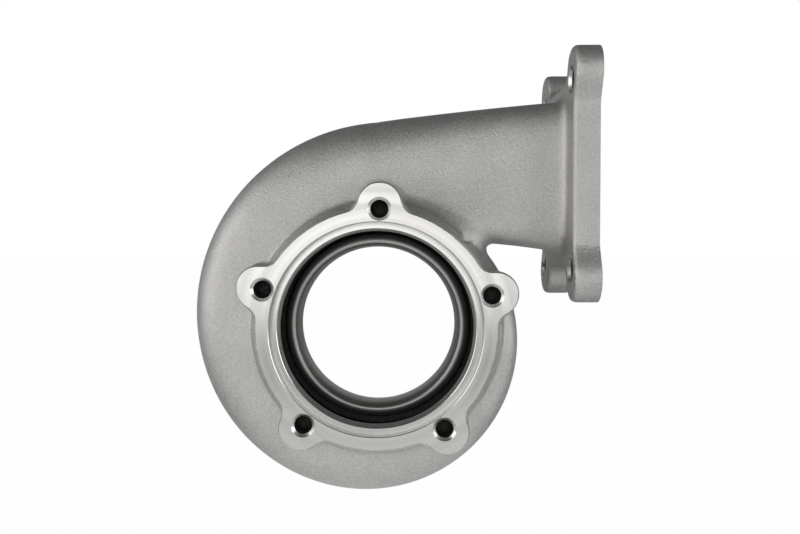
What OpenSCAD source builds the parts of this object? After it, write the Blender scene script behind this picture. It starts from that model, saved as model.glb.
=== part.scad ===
// Turbine housing: a hollow casting with a scroll round the wheel, an inlet neck with a
// rectangular flange, and machined faces and bores. The wheel turns about the Y axis.
// The face that bolts to the centre housing is the plane y = 0 and looks along -Y, the
// exhaust leaves along +Y, and the inlet flange faces +X. Lengths are in millimetres.

/* [Centre housing end] */
// Diameter of the register that locates the centre housing
pilot_d = 95; // [93:0.5:97]
// Depth of that register below the face
pilot_depth = 5.2; // [4:0.2:6]
// Width of the relief groove in the corner of the register
relief_w = 0.8; // [0.5:0.1:1.2]
// Depth of that groove in the seat of the register
relief_depth = 0.15; // [0.1:0.05:0.2]
// Diameter of the bore between the register and the gas slot
throat_d = 89; // [86:0.5:90]
// Depth of the front edge of the gas slot below the face
slot_front = 11.1; // [10:0.2:12]
// Outer diameter of the machined ring
ring_d = 106.2; // [104:0.2:110]
// Height of the machined ring above the shoulder behind it
ring_height = 6; // [4:0.5:8]
// Outer diameter of the shoulder behind the ring
shoulder_d = 113.5; // [112:0.5:118]
// Radius on the front edge of the shoulder
shoulder_round = 3.5; // [2:0.5:5]

/* [Centre housing bolts] */
// Number of tapped lugs
bolt_count = 5; // [4:1:6]
// Diameter of the bolt circle
bolt_circle_d = 106.5; // [105:0.5:109]
// Angle of the first bolt, anticlockwise from +X
first_bolt = 88.5; // [80:0.5:100]
// Tapping diameter of the bolt holes
tap_d = 6.8; // [6:0.1:8.5]
// Depth of the bolt holes
tap_depth = 12.5; // [10:0.5:13]
// Diameter across the countersink of the bolt holes
tap_chamfer_d = 10.6; // [9:0.1:11.5]
// Radius of the lug round the bolt
lug_r = 9; // [8:0.2:10]
// Distance from the bolt out to the centre of that radius
lug_reach = 2; // [1:0.2:4]
// Radius between a lug and the ring
lug_fillet = 6; // [4:0.5:8]
// Thickness of a lug
lug_t = 15; // [14:0.5:17]

/* [Wheel contour and outlet] */
// Diameter of the contour where the gas meets the wheel
contour_d = 77.4; // [76:0.2:79]
// Depth of that edge below the face
contour_depth = 19.9; // [19:0.1:21]
// Diameter of the bore at the end of the wheel
exducer_d = 73; // [70:0.5:75]
// Depth below the face where that bore starts
exducer_depth = 32; // [30:0.5:34]
// Length of that bore
exducer_len = 4; // [3:0.5:6]
// Diameter of the outlet cone at its mouth
outlet_d = 93; // [88:0.5:95]
// Length of the straight mouth of the outlet
outlet_land = 2; // [1:0.5:4]
// Distance between the centre housing face and the outlet face
overall_depth = 82; // [80:0.5:90]
// Wall of the outlet tube
outlet_wall = 4; // [3.5:0.5:6]
// Outer diameter of the clamp flange on the outlet
clamp_flange_d = 112; // [108:0.5:116]
// Rim width of the clamp flange
clamp_rim = 2.5; // [2:0.5:4]
// Angle of the back of the clamp flange
clamp_angle = 20; // [15:1:25]

/* [Scroll outside radius] */
// Radius at the top, where the inlet neck joins
scroll_r_top = 96.3; // [95:0.1:98]
// Radius on the left, a quarter turn on
scroll_r_left = 86.8; // [85:0.1:88]
// Radius at the bottom, half a turn on
scroll_r_bottom = 78.4; // [77:0.1:80]
// Radius on the right, three quarters of a turn on
scroll_r_right = 64.8; // [63:0.1:67]
// Radius at the end of the scroll, under the tongue
scroll_r_end = 55; // [54:0.1:57]

/* [Gas passage] */
// Half width of the passage at the top
passage_b_top = 20; // [18:0.5:21]
// Half width on the left
passage_b_left = 18; // [16:0.5:20]
// Half width at the bottom
passage_b_bottom = 14; // [12:0.5:16]
// Half width on the right
passage_b_right = 8.5; // [8:0.5:10]
// Half width at the end
passage_b_end = 5; // [4.5:0.5:6]
// Depth of the front of the passage at the top, below the centre housing face
passage_front_top = 21; // [20:0.5:23]
// Depth of the front on the left
passage_front_left = 19; // [18:0.5:21]
// Depth of the front at the bottom
passage_front_bottom = 17.5; // [16.5:0.5:19]
// Depth of the front on the right
passage_front_right = 16.5; // [15.5:0.5:18]
// Depth of the front at the end
passage_front_end = 16; // [15:0.5:17]
// Squareness of the passage section, where 2 is an ellipse
scroll_square = 2.4; // [2.1:0.1:3]
// Casting wall
wall = 5.5; // [4.5:0.5:6.5]
// Angle of the tongue, anticlockwise from +X
tongue_angle = 86; // [84:1:88]
// Height of the tongue edge above the wheel axis
tongue_height = 53.5; // [52:0.5:56]

/* [Inlet] */
// Distance from the wheel axis to the inlet face
inlet_x = 98.3; // [94:0.5:110]
// Height of the port centre above the wheel axis
inlet_z = 68.7; // [66:0.5:71]
// Depth of the port centre behind the centre housing face
inlet_y = 42; // [41:0.5:46]
// Height of the port
port_h = 63; // [58:1:64]
// Width of the port
port_w = 42; // [38:1:44]
// Squareness of the port, where 2 is an ellipse
port_square = 5; // [4:0.5:7]
// Thickness of the inlet flange
flange_t = 12; // [10:0.5:16]
// Spacing of the inlet bolts along Z
inlet_bolt_z = 84; // [82:0.5:90]
// Spacing of the inlet bolts along Y
inlet_bolt_y = 70; // [68:0.5:76]
// Tapping diameter of the inlet bolt holes
inlet_tap_d = 8.5; // [7:0.1:10.5]
// Diameter across the countersinks of the inlet bolt holes
inlet_chamfer_d = 12.6; // [11:0.1:13.5]
// Radius of the ears round the inlet bolts
ear_r = 11; // [10:0.5:13]
// Distance from an inlet bolt up or down to the centre of that radius
ear_reach = 4; // [2:0.2:5]
// Depth of the waist in the near and far edges
side_waist = 5.5; // [4:0.5:8]
// Depth of the dip in the top and bottom edges
end_dip = 13.5; // [8:0.5:15]
// Radius between an ear and a dip or waist
ear_fillet = 6; // [4:0.5:7]
// Radius on the edge behind the flange
flange_round = 2.5; // [1.5:0.5:3]

/* [Hidden] */
cast_grey = [0.62, 0.62, 0.60];
// Overlap of a cutter beyond the face that it cuts
cut = 1;
scroll_r = [scroll_r_top, scroll_r_left, scroll_r_bottom, scroll_r_right, scroll_r_end];
passage_b = [passage_b_top, passage_b_left, passage_b_bottom, passage_b_right, passage_b_end];
passage_front = [
    passage_front_top, passage_front_left, passage_front_bottom, passage_front_right,
    passage_front_end
];
quarter = 360 / 4;
// The scroll ends this many degrees short of the tongue, after its full turn
tongue_lap = 4;
scroll_start = quarter;
scroll_end = 360 + tongue_angle - tongue_lap;
// Turn of the sections, points round each, and sections along the neck
scroll_step = 7;
skin_points = 28;
passage_points = 22;
neck_steps = 10;
// The passage starts this far outside the bore in front of the slot
passage_gap = 0.5;
passage_inner = throat_d / 2 + passage_gap;
slot_middle = (slot_front + contour_depth) / 2;
// The inner end of a section lies this far behind the middle of the slot, is narrower by
// this share, and leans towards the slot by this power of the way in
inner_back = 3;
inner_narrowing = 0.25;
lean_power = 4;
// The neck spreads fast at first, while its skin leaves the shoulder late
neck_spread_power = 0.8;
neck_skin_power = 2.5;
// The neck's passage leans by this share of what its skin does, which keeps the wall even
passage_lean = 0.6;
// The neck starts inside the scroll, a small step below the surface
neck_lap = 2;
neck_step = 0.4;
inlet_back = inlet_x - flange_t;
// The shoulder and the outlet tube run into the scroll by these lengths
shoulder_lap = 8;
hub_lap = 4;
shoulder_back = slot_middle + shoulder_lap;
// The nozzle opens into the scroll over this height and depth
nozzle_height = 4;
nozzle_depth = 5;

function signed_power(v, e) = sign(v) * pow(abs(v), e);
function ease(t) = t * t * (3 - 2 * t);
function mix(a, b, t) = a + (b - a) * t;

// Smooth value at an angle from a list of values at quarter turns
function at_quarters(list, angle) =
    let (
        turns = (angle - scroll_start) / quarter,
        i = min(max(floor(turns), 0), len(list) - 2),
        t = turns - i,
        before = i > 0 ? list[i - 1] : 2 * list[0] - list[1],
        after = i < len(list) - 2 ? list[i + 2] : 2 * list[i + 1] - list[i],
        rise_a = (list[i + 1] - before) / 2,
        rise_b = (after - list[i]) / 2
    )
    mix(list[i], list[i + 1], ease(t)) + t * (1 - t) * ((1 - t) * rise_a - t * rise_b);

// One passage section as [radius, y] points. It leans forward towards the slot at its inner end.
function section(middle, a, y_middle, b, square, lean, count) = [
    for (i = [0 : count - 1])
        let (
            u = signed_power(cos(360 * i / count), 2 / square),
            v = signed_power(sin(360 * i / count), 2 / square),
            inward = (1 - u) / 2
        )
        [
            middle + a * u,
            y_middle + b * v * (1 - inner_narrowing * lean * inward)
                + lean * (slot_middle + inner_back - y_middle) * pow(inward, lean_power)
        ]
];

function scroll_section(angle, skin, count) =
    let (
        outer = at_quarters(scroll_r, angle) - wall,
        b = at_quarters(passage_b, angle),
        y_middle = at_quarters(passage_front, angle) + b
    )
    section((outer + passage_inner) / 2, (outer - passage_inner) / 2 + skin,
        y_middle, b + skin, scroll_square, 1, count);

// The neck runs from the plane x = 0 above the tongue to the inlet flange. Its passage has a
// floor that starts on the tongue, and its skin starts as the skin of the scroll does.
function neck_section(x, skin, count) =
    let (
        t = max(x, 0) / inlet_x,
        grown = skin - neck_step * (1 - ease(t)),
        top_start = scroll_r_top - wall,
        port_floor = inlet_z - port_h / 2,
        top = mix(top_start, inlet_z + port_h / 2, pow(t, neck_spread_power)),
        bottom = skin > 0 ? mix(passage_inner, port_floor, pow(t, neck_skin_power))
            : mix(tongue_height, port_floor, pow(t, neck_spread_power)),
        b = mix(passage_b_top, port_w / 2, ease(t)),
        y_middle = mix(passage_front_top + passage_b_top, inlet_y, ease(t))
    )
    section((top + bottom) / 2, (top - bottom) / 2 + grown, y_middle, b + grown,
        mix(scroll_square, port_square, ease(t)), (1 - ease(t)) * (skin > 0 ? 1 : passage_lean), count);

function in_scroll(points, angle) = [for (p = points) [p[0] * cos(angle), p[1], p[0] * sin(angle)]];
function in_neck(points, x) = [for (p = points) [x, p[1], p[0]]];
function average(points) =
    [for (axis = [0 : 2]) [for (p = points) p[axis]] * [for (p = points) 1 / len(points)]];

// Closed skin through a row of rings that have equally many points
module loft(rings) {
    n = len(rings[0]);
    last = len(rings) - 1;
    points = concat([for (ring = rings) each ring], [average(rings[0]), average(rings[last])]);
    first_middle = n * (last + 1);
    sides = [
        for (i = [0 : last - 1], j = [0 : n - 1])
            let (a = i * n + j, b = i * n + (j + 1) % n)
            each [[a, b, b + n], [a, b + n, a + n]]
    ];
    start = [for (j = [0 : n - 1]) [(j + 1) % n, j, first_middle]];
    end = [for (j = [0 : n - 1]) [last * n + j, last * n + (j + 1) % n, first_middle + 1]];
    polyhedron(points = points, faces = concat(sides, start, end), convexity = 10);
}

module scroll(skin, count) {
    steps = ceil((scroll_end - scroll_start) / scroll_step);
    loft([
        for (i = [0 : steps])
            let (angle = mix(scroll_end, scroll_start, i / steps))
            in_scroll(scroll_section(angle, skin, count), angle)
    ]);
}

module neck(skin, count, end) {
    loft([
        for (i = [0 : neck_steps])
            let (x = mix(-neck_lap, end, i / neck_steps))
            in_neck(neck_section(x, skin, count), x)
    ]);
}

// Turns a profile drawn as [radius, y] about the wheel axis
module turned() {
    rotate([-90, 0, 0]) rotate_extrude($fn = 128) children();
}

// Extrudes an outline drawn as [x, z] from one depth to another
module along_y(from, to) {
    translate([0, to, 0]) rotate([90, 0, 0]) linear_extrude(to - from) children();
}

function arc(centre, r, from, to, steps) = [
    for (i = [0 : steps])
        let (t = mix(from, to, i / steps))
        [centre[0] + r * cos(t), centre[1] + r * sin(t)]
];

// Outline of the ring with its lugs, with fillets that touch the ring and the lug arcs
module lugged_ring() {
    ring_r = ring_d / 2;
    lug_centre = bolt_circle_d / 2 + lug_reach;
    to_ring = ring_r + lug_fillet;
    to_lug = lug_r + lug_fillet;
    spread = acos((to_ring ^ 2 + lug_centre ^ 2 - to_lug ^ 2) / (2 * to_ring * lug_centre));
    fillet_at = [to_ring * cos(spread), to_ring * sin(spread)];
    lean = atan2(fillet_at[1], fillet_at[0] - lug_centre);
    pitch = 360 / bolt_count;
    far_side = pitch - spread;
    ring_steps = 8;
    ring_step = (far_side - spread) / ring_steps;
    lug = concat(
        arc([lug_centre, 0], lug_r, -lean, lean, 14),
        arc(fillet_at, lug_fillet, lean + 180, spread + 180, 5),
        arc([0, 0], ring_r, spread + ring_step, far_side - ring_step, ring_steps - 2),
        arc([to_ring * cos(far_side), to_ring * sin(far_side)], lug_fillet, far_side + 180,
            pitch + 180 - lean, 5)
    );
    polygon([
        for (k = [0 : bolt_count - 1], p = lug)
            let (turn = first_bolt + k * pitch)
            [p[0] * cos(turn) - p[1] * sin(turn), p[0] * sin(turn) + p[1] * cos(turn)]
    ]);
}

module centre_housing_end() {
    along_y(0, lug_t) lugged_ring();
    turned() polygon(concat(
        [[exducer_d / 2, ring_height]],
        arc([shoulder_d / 2 - shoulder_round, ring_height + shoulder_round], shoulder_round, -90, 0, 6),
        [[shoulder_d / 2, shoulder_back], [exducer_d / 2, shoulder_back]]
    ));
}

module outlet_end() {
    inner_r = exducer_d / 2 - hub_lap;
    tube_r = outlet_d / 2 + outlet_wall;
    tube_front = ring_height + cut;
    rim_front = overall_depth - clamp_rim;
    taper = (clamp_flange_d / 2 - tube_r) * tan(clamp_angle);
    turned() polygon([
        [inner_r, tube_front],
        [tube_r, tube_front],
        [tube_r, rim_front - taper],
        [clamp_flange_d / 2, rim_front],
        [clamp_flange_d / 2, overall_depth],
        [inner_r, overall_depth]
    ]);
}

// Outline of the inlet flange as [y, z] points about its centre, set in from its edges
function flange_outline(inset) =
    let (
        r = ear_r - inset,
        f = ear_fillet + inset,
        ear = [inlet_bolt_y / 2, inlet_bolt_z / 2 + ear_reach],
        side = ear[0] + ear_r - side_waist - inset,
        top = ear[1] + ear_r - end_dip - inset,
        side_fillet = [side + f, ear[1] - sqrt((r + f) ^ 2 - (side + f - ear[0]) ^ 2)],
        top_fillet = [ear[0] - sqrt((r + f) ^ 2 - (top + f - ear[1]) ^ 2), top + f],
        side_lean = atan2(side_fillet[1] - ear[1], side_fillet[0] - ear[0]),
        top_lean = atan2(top_fillet[1] - ear[1], top_fillet[0] - ear[0]),
        corner = concat(
            arc(side_fillet, f, 180, 180 + side_lean, 5),
            arc(ear, r, side_lean, top_lean, 14),
            arc(top_fillet, f, top_lean - 180, -90, 5)
        ),
        mirrored = [for (i = [len(corner) - 1 : -1 : 0]) [-corner[i][0], corner[i][1]]],
        upper = concat(corner, mirrored)
    )
    concat(upper, [for (p = upper) -p]);

function flange_ring(x, inset) = [
    for (p = flange_outline(inset)) [x, inlet_y + p[0], inlet_z + p[1]]
];

module flange_plate(from, to, inset) {
    translate([from, inlet_y, inlet_z])
        rotate([90, 0, 90]) linear_extrude(to - from) polygon(flange_outline(inset));
}

// Two plates, and between them the rounded rear edge, whose closed ends lie inside the plates
module inlet_flange() {
    round_front = inlet_back + flange_round;
    flange_plate(round_front, inlet_x, 0);
    flange_plate(inlet_back, round_front + cut, flange_round);
    loft(concat(
        [flange_ring(round_front + cut, flange_round)],
        [
            for (t = [0 : 30 : 90])
                flange_ring(round_front - flange_round * sin(t), flange_round * (1 - cos(t)))
        ],
        [flange_ring(inlet_back + cut, flange_round + cut)]
    ));
}

module casting() {
    scroll(wall, skin_points);
    neck(wall, skin_points, inlet_x - flange_round);
    inlet_flange();
    centre_housing_end();
    outlet_end();
}

module gas_passage() {
    scroll(0, passage_points);
    neck(0, passage_points, inlet_x + cut);
}

// The bores that the wheel turns in, and the slot round it that the scroll feeds
module wheel_bores() {
    relief_back = pilot_depth + relief_depth;
    nozzle_outer = passage_inner + nozzle_height;
    nozzle_back = contour_depth + nozzle_depth;
    turned() polygon([
        [0, -cut],
        [pilot_d / 2, -cut],
        [pilot_d / 2, relief_back],
        [pilot_d / 2 - relief_w, relief_back],
        [pilot_d / 2 - relief_w, pilot_depth],
        [throat_d / 2, pilot_depth],
        [throat_d / 2, slot_front],
        [passage_inner + cut, slot_front],
        [nozzle_outer, slot_front + nozzle_depth],
        [nozzle_outer, nozzle_back],
        [nozzle_outer - nozzle_height / 2, nozzle_back],
        [contour_d / 2, contour_depth],
        [exducer_d / 2, exducer_depth],
        [exducer_d / 2, exducer_depth + exducer_len],
        [outlet_d / 2, overall_depth - outlet_land],
        [outlet_d / 2, overall_depth + cut],
        [0, overall_depth + cut]
    ]);
}

module bolt_hole(d, depth, chamfer_d) {
    chamfer = (chamfer_d - d) / 2;
    translate([0, 0, -depth]) cylinder(d = d, h = depth + cut, $fn = 32);
    translate([0, 0, -chamfer])
        cylinder(d1 = d, d2 = chamfer_d + 2 * cut, h = chamfer + cut, $fn = 48);
}

module centre_housing_holes() {
    for (k = [0 : bolt_count - 1])
        let (angle = first_bolt + 360 * k / bolt_count)
        translate([bolt_circle_d / 2 * cos(angle), 0, bolt_circle_d / 2 * sin(angle)])
            rotate([90, 0, 0]) bolt_hole(tap_d, tap_depth, tap_chamfer_d);
}

module inlet_holes() {
    for (y = [-0.5, 0.5], z = [-0.5, 0.5])
        translate([inlet_x, inlet_y + y * inlet_bolt_y, inlet_z + z * inlet_bolt_z]) {
            rotate([0, 90, 0]) bolt_hole(inlet_tap_d, flange_t + cut, inlet_chamfer_d);
            translate([-flange_t, 0, 0])
                rotate([0, -90, 0]) bolt_hole(inlet_tap_d, cut, inlet_chamfer_d);
        }
}

module turbine_housing() {
    color(cast_grey) difference() {
        casting();
        gas_passage();
        wheel_bores();
        centre_housing_holes();
        inlet_holes();
    }
}

turbine_housing();
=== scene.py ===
import math

import bmesh
import bpy
import numpy as np
from mathutils import Matrix, Vector


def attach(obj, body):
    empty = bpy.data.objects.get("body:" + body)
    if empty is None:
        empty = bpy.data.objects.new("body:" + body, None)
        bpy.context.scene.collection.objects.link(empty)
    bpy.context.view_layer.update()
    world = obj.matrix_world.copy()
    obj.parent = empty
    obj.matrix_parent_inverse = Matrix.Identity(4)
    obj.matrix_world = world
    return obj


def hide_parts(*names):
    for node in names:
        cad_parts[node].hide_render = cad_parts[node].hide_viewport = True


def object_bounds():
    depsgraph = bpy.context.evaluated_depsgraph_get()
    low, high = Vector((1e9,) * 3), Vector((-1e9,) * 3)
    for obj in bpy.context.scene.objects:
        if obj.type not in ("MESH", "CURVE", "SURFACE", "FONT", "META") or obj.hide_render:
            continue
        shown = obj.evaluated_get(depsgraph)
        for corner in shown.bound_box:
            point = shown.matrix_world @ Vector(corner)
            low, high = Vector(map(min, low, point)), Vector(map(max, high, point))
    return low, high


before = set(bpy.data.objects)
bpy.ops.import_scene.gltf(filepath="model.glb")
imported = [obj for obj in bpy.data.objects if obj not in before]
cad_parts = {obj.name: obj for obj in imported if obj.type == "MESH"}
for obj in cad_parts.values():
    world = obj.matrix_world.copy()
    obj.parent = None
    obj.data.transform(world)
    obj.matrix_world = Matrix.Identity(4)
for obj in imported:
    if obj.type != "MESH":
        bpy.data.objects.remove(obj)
cad_low, cad_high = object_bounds()

# The frame is in metres. Sizes here are in millimetres, as the part's source has them.
MM = 0.001

# Centre housing end
PILOT_R = 47.5
PILOT_DEPTH = 5.2
RELIEF_W = 0.8
# The part's source has 0.15 here
RELIEF_DEPTH = 0.4
THROAT_R = 44.5
THROAT_NARROWING = 0.8
SLOT_FRONT = 11.1
RING_R = 53.1
RING_HEIGHT = 6.0
SHOULDER_R = 56.75
SHOULDER_ROUND = 2.8
# The shoulder ends inside the casting, this far behind the middle of the slot
SHOULDER_BACK = 8.0
BOLT_COUNT = 5
BOLT_CIRCLE_R = 53.25
FIRST_BOLT = 88.5
THREAD_MAJOR_R = 4.0
THREAD_MINOR_R = 3.4
THREAD_PITCH = 1.25
TAP_DEPTH = 12.5
TAP_CHAMFER_R = 5.3
TAP_RUNOUT = 1.6
DRILL_POINT = 1.0
THREAD_MARGIN = 1.5
LUG_R = 9.0
LUG_REACH = 2.0
LUG_FILLET = 6.0
LUG_T = 15.0
# Lugs above the axis and beyond this x stand free of the scroll
LUG_FREE_X = 30.0

# Wheel contour and outlet
CONTOUR_DEPTH = 19.9
EXDUCER_R = 36.5
EXDUCER_DEPTH = 32.0
EXDUCER_LEN = 4.0
# Rounded lip of the contour and its curve down to the exducer, as (radius, y)
CONTOUR = [
    (42.0, 21.7), (41.0, 21.2), (40.2, 20.85), (39.5, 20.65), (38.9, 20.6),
    (38.5, 20.75), (38.15, 21.05), (37.8, 21.55), (37.5, 22.2), (37.2, 23.1),
    (36.95, 24.3), (36.75, 26.0), (36.6, 28.5), (36.5, 32.0),
]
OUTLET_R = 46.5
OUTLET_LAND = 2.0
OVERALL_DEPTH = 82.0
OUTLET_WALL = 4.0
CLAMP_R = 56.0
CLAMP_RIM = 2.5
CLAMP_ANGLE = 20.0
RIM_STOCK_FRONT = OVERALL_DEPTH - 9
RIM_ROUND = 2.0
# The groove of the rim: how far in front of the cast rim it starts, and its depth in the tube
GROOVE_LEAD = 3.0
GROOVE_DEPTH = 0.2

# Scroll and gas passage, at each quarter turn from the top on
SCROLL_R = [96.3, 86.8, 78.4, 64.8, 55.0]
PASSAGE_B = [20.0, 18.0, 14.0, 8.5, 5.0]
PASSAGE_FRONT = [21.0, 19.0, 17.5, 16.5, 16.0]
SCROLL_SQUARE = 2.4
WALL = 5.5
SCROLL_END_ANGLE = 82.0
TONGUE_HEIGHT = 53.5
PASSAGE_INNER = 45.0
SLOT_MIDDLE = (SLOT_FRONT + CONTOUR_DEPTH) / 2
INNER_BACK = 3.0
INNER_NARROWING = 0.25
LEAN_POWER = 4
NOZZLE_HEIGHT = 4.0
NOZZLE_DEPTH = 5.0

# Inlet
INLET = np.array([98.3, 42.0, 68.7])
PORT_H = 63.0
PORT_W = 42.0
PORT_SQUARE = 5.0
NECK_SPREAD_POWER = 0.8
NECK_SKIN_POWER = 2.5
PASSAGE_LEAN = 0.6
FLANGE_T = 12.0
INLET_BOLT_Z = 84.0
INLET_BOLT_Y = 70.0
INLET_THREAD_MAJOR_R = 5.0
INLET_THREAD_MINOR_R = 4.25
INLET_THREAD_PITCH = 1.5
INLET_CHAMFER_R = 6.3
EAR_R = 11.0
EAR_REACH = 4.0
SIDE_WAIST = 5.5
END_DIP = 13.5
EAR_FILLET = 6.0
FLANGE_ROUND = 2.5

# Cast fillets, where a smaller form stands on a larger one
SHOULDER_FILLET = 2.2
LUG_FOOT_FILLET = 3.0
LUG_ROOT = 4.0
RING_FOOT_FILLET = 0.8
# Draft of the cast side of the ring and lugs, just under the turned face
DRAFT_REACH = 1.1
DRAFT_DEPTH = 0.7
# Steep web in place of the shoulder below the neck: its sector in degrees from +X, and its slope
WEB_FROM = 14.0
WEB_TO = 48.0
WEB_EASE = 6.0
WEB_SLOPE = 0.36
# Where the web starts behind the face, and how far it sinks away outside its sector
WEB_FRONT = 1.0
WEB_SINK = 6.0
NECK_FILLET = 6.5
FLANGE_FILLET = 4.0
OUTLET_FILLET = 7.0

# The part's flat facets lie this far inside the true curve of the scroll, and of the ears
SKIN_INSET = 0.17
EAR_INSET = 0.03

# Voxel of the cast skin and corners of its grid, the stock that the machining takes off, and
# its broken edges
VOXEL = 1.4
GRID_LOW = (-92.0, -7.0, -84.0)
GRID_HIGH = (103.0, 91.0, 130.0)
STOCK = 2.0
EDGE = 0.3
PAST = 5.0
# How far one cut laps over the next
LAP = 1.0
BORE_STEPS = 240
HOLE_STEPS = 48
# Faces of the casting this near the gas passage are part of its skin
PASSAGE_TOLERANCE = 0.4
# The cuts leave slivers thinner than this
SLIVER = 0.02


def ease(t):
    return t * t * (3 - 2 * t)


def mix(a, b, t):
    return a + (b - a) * t


def at_quarters(values, angle):
    """Smooth value at an angle in degrees, from values at quarter turns that start at the top."""
    values = np.array(values)
    turns = (angle - 90) / 90
    i = np.clip(np.floor(turns).astype(int), 0, len(values) - 2)
    t = turns - i
    before = np.where(i > 0, values[np.maximum(i - 1, 0)], 2 * values[0] - values[1])
    after_last = 2 * values[-1] - values[-2]
    after = np.where(i < len(values) - 2, values[np.minimum(i + 2, len(values) - 1)], after_last)
    a = values[i]
    b = values[i + 1]
    bend = (1 - t) * (b - before) / 2 - t * (after - a) / 2
    return mix(a, b, ease(t)) + t * (1 - t) * bend


def section_distance(out, y, middle, a, y_middle, b, square, lean):
    """Distance in mm from a passage section, less than nought inside it, and true near its edge."""
    u = (out - middle) / a
    inward = (1 - np.clip(u, -1, 1)) / 2
    centre = y_middle + lean * (SLOT_MIDDLE + INNER_BACK - y_middle) * inward**LEAN_POWER
    half = b * (1 - INNER_NARROWING * lean * inward)
    u = np.abs(u)
    v = np.abs(y - centre) / half
    f = np.maximum((u**square + v**square) ** (1 / square), 0.05)
    slope = np.hypot((u / f) ** (square - 1) / a, (v / f) ** (square - 1) / half)
    return (f - 1) / slope


def scroll_distance(r, y, angle, skin):
    outer = at_quarters(SCROLL_R, angle) - WALL
    b = at_quarters(PASSAGE_B, angle)
    y_middle = at_quarters(PASSAGE_FRONT, angle) + b
    middle = (outer + PASSAGE_INNER) / 2
    half = outer - middle + skin
    return section_distance(r, y, middle, half, y_middle, b + skin, SCROLL_SQUARE, 1)


def neck_distance(x, y, z, skin):
    t = np.clip(x / INLET[0], 0, 1)
    port_floor = INLET[2] - PORT_H / 2
    top = mix(SCROLL_R[0] - WALL, INLET[2] + PORT_H / 2, t**NECK_SPREAD_POWER)
    if skin > 0:
        bottom = mix(PASSAGE_INNER, port_floor, t**NECK_SKIN_POWER)
        lean = 1 - ease(t)
    else:
        bottom = mix(TONGUE_HEIGHT, port_floor, t**NECK_SPREAD_POWER)
        lean = PASSAGE_LEAN * (1 - ease(t))
    b = mix(PASSAGE_B[0], PORT_W / 2, ease(t))
    y_middle = mix(PASSAGE_FRONT[0] + PASSAGE_B[0], INLET[1], ease(t))
    square = mix(SCROLL_SQUARE, PORT_SQUARE, ease(t))
    return section_distance(
        z, y, (top + bottom) / 2, (top - bottom) / 2 + skin, y_middle, b + skin, square, lean
    )


def round_union(a, b, r):
    """Union of two distances with a cast fillet of radius r where they meet."""
    return np.maximum(np.minimum(a, b), r) - np.hypot(np.maximum(r - a, 0), np.maximum(r - b, 0))


def round_common(a, b, r):
    """What two distances have in common, with a radius r on the edge."""
    return -round_union(-a, -b, r)


FAR = 1000.0


def tail_distance(x, y, z, r, angle, skin):
    """Last stretch of the scroll, past a full turn, up to where it ends under the tongue."""
    tail = scroll_distance(r, y, np.minimum(angle, SCROLL_END_ANGLE) + 360, skin)
    end = r * np.sin(np.radians(angle - SCROLL_END_ANGLE))
    return np.where((z > 0) & (x > 0), np.maximum(tail, end), FAR)


def skin_distance(x, y, z, r, angle):
    """Outside of the scroll and the neck as one skin, with the end of the scroll filleted to it."""
    join = 6.0
    near_top = z > 0
    body = scroll_distance(r, y, np.where(near_top & (angle < 90), 90 - join, angle), WALL)
    neck = np.maximum(neck_distance(x, y, z, WALL), x - INLET[0] + FLANGE_ROUND)
    along = ease(np.clip((x + join) / (2 * join), 0, 1))
    head = np.where(near_top, mix(body, neck, along), body)
    tail = tail_distance(x, y, z, r, angle, WALL)
    return round_union(head, tail, NECK_FILLET) + SKIN_INSET


def passage_distance(x, y, z, r, angle):
    """The gas passage: the neck, the scroll, and its last stretch that ends under the tongue."""
    lap = 2.0
    near_top = z > 0
    scroll = scroll_distance(r, y, np.where(near_top & (angle < 90), 90, angle), 0)
    head = np.where(near_top, np.maximum(scroll, x), scroll)
    neck = np.where(near_top, np.maximum(neck_distance(x, y, z, 0), -x - lap), FAR)
    tail = tail_distance(x, y, z, r, angle, 0)
    return np.minimum(np.minimum(head, neck), tail)


def polar(x, z):
    """Radius from the wheel axis, and angle from +X in degrees, from 0 to 360."""
    return np.hypot(x, z), 360 - np.degrees(np.arctan2(-z, x)) % 360


def passage_faces(points):
    """Which points of the casting lie on the skin of the gas passage."""
    x, y, z = points
    return np.abs(passage_distance(x, y, z, *polar(x, z))) < PASSAGE_TOLERANCE


def lug_outline(x, z, r):
    pitch = 360 / BOLT_COUNT
    turn = np.degrees(np.arctan2(z, x)) - FIRST_BOLT
    turn = np.radians((turn + pitch / 2) % pitch - pitch / 2)
    return np.hypot(r * np.cos(turn) - BOLT_CIRCLE_R - LUG_REACH, r * np.sin(turn)) - LUG_R


def lug_distance(x, y, z, r):
    """The lugs alone. Where the scroll is wide enough to hide them they root deeper in it."""
    root = np.where((x > LUG_FREE_X) & (z > 0), 0, LUG_ROOT)
    return np.maximum(np.maximum(lug_outline(x, z, r), -STOCK - y), y - LUG_T - root)


def ring_distance(x, y, z, r):
    """The ring and its lugs, with stock in front for the turning."""
    outline = round_union(r - RING_R, lug_outline(x, z, r), LUG_FILLET)
    draft = DRAFT_REACH * (1 - np.exp(-np.clip(y, -0.5, 20) / DRAFT_DEPTH))
    return np.maximum(np.maximum(outline - draft, -STOCK - y), y - LUG_T)


def web_share(angle):
    """How far the steep web takes the shoulder's place, from 0 to 1."""
    start = ease(np.clip((angle - WEB_FROM) / WEB_EASE, 0, 1))
    end = ease(np.clip((WEB_TO - angle) / WEB_EASE, 0, 1))
    return start * end


def web_distance(y, r, angle):
    """Steep wall below the neck, from the ring's edge down to the scroll."""
    out = (r - RING_R - WEB_SLOPE * y) / math.hypot(1, WEB_SLOPE)
    return np.maximum(out, WEB_FRONT - y) + WEB_SINK * (1 - web_share(angle))


def shoulder_distance(y, r, angle):
    hidden = SHOULDER_R - RING_R + 1
    out = r - SHOULDER_R + web_share(angle) * hidden
    front = RING_HEIGHT - y
    back = SLOT_MIDDLE + SHOULDER_BACK
    return np.maximum(round_common(out, front, SHOULDER_ROUND), y - back)


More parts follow.
